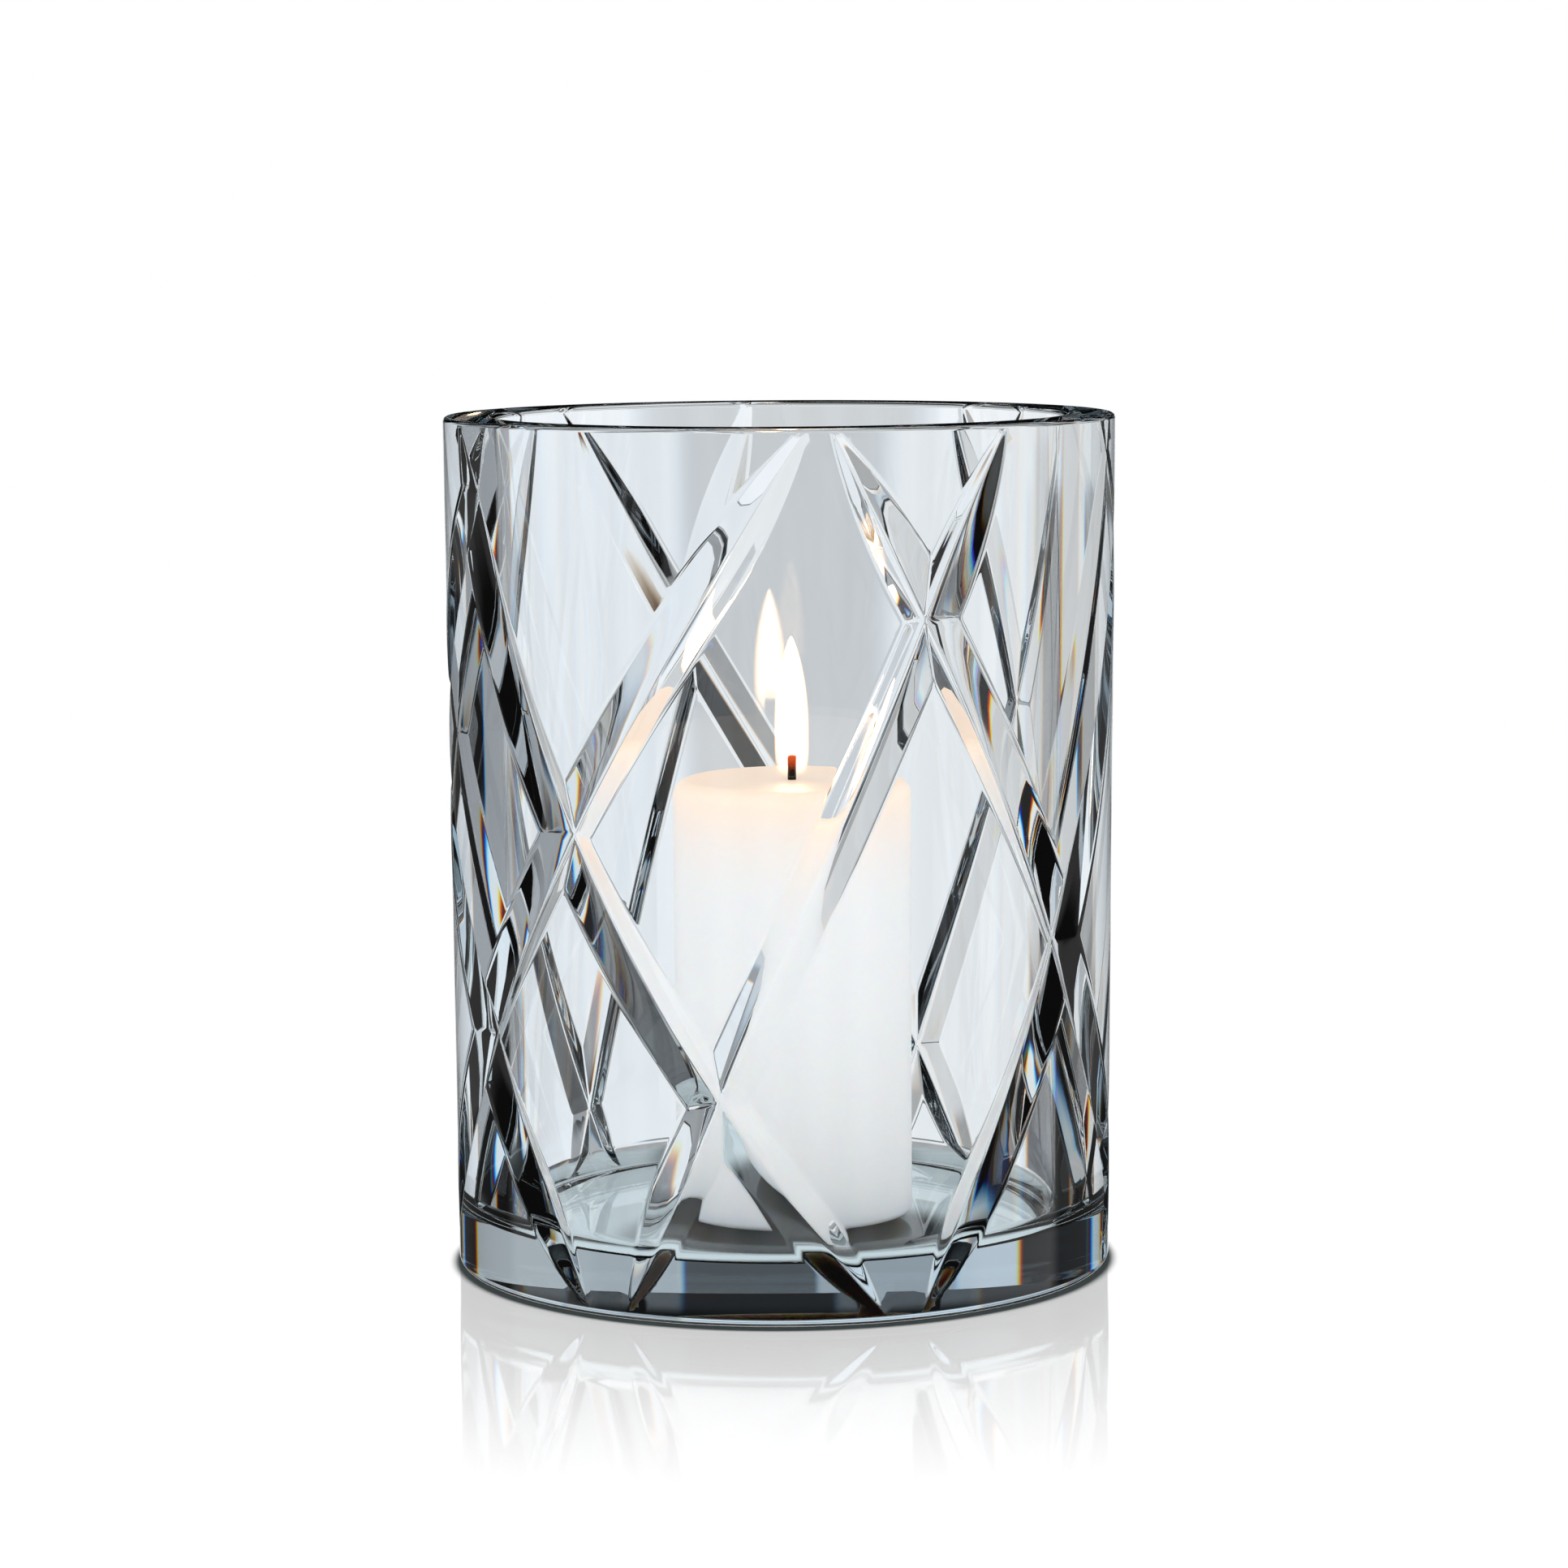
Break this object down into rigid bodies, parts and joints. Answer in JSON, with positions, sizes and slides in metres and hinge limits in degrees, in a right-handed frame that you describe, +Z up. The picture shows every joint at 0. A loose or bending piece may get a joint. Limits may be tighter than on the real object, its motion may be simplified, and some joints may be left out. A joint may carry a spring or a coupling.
{
  "type": "hurricane candle lantern",
  "caption": "Heavy smoke-grey glass cylinder with crossing mitre cuts, open at the top, holding a loose white pillar candle on its thick floor.",
  "frame": {"origin": "centre of the flat underside of the glass", "axes": "+Z up along the axis of the glass; the front of the lantern faces -Y and +X is to the right as seen from the front"},
  "size_m": [0.168, 0.168, 0.214],
  "materials": {
    "smoke_glass": "polished clear glass with a cool smoke-grey tint",
    "white_wax": "smooth satin paraffin wax",
    "burnt_cotton": "braided cotton, burnt above the wax",
    "tinned_steel": "bright tin plate"
  },
  "bodies": {
    "vessel": {"glass_vessel": "smoke_glass"},
    "candle": {"candle_wax": "white_wax", "wick": "burnt_cotton", "wick_sustainer": "tinned_steel"}
  },
  "joints": [
    {"name": "candle_lift", "type": "slide", "parent": "vessel", "child": "candle", "axis": [0, 0, 1], "range_m": [0, 0.215]}
  ]
}
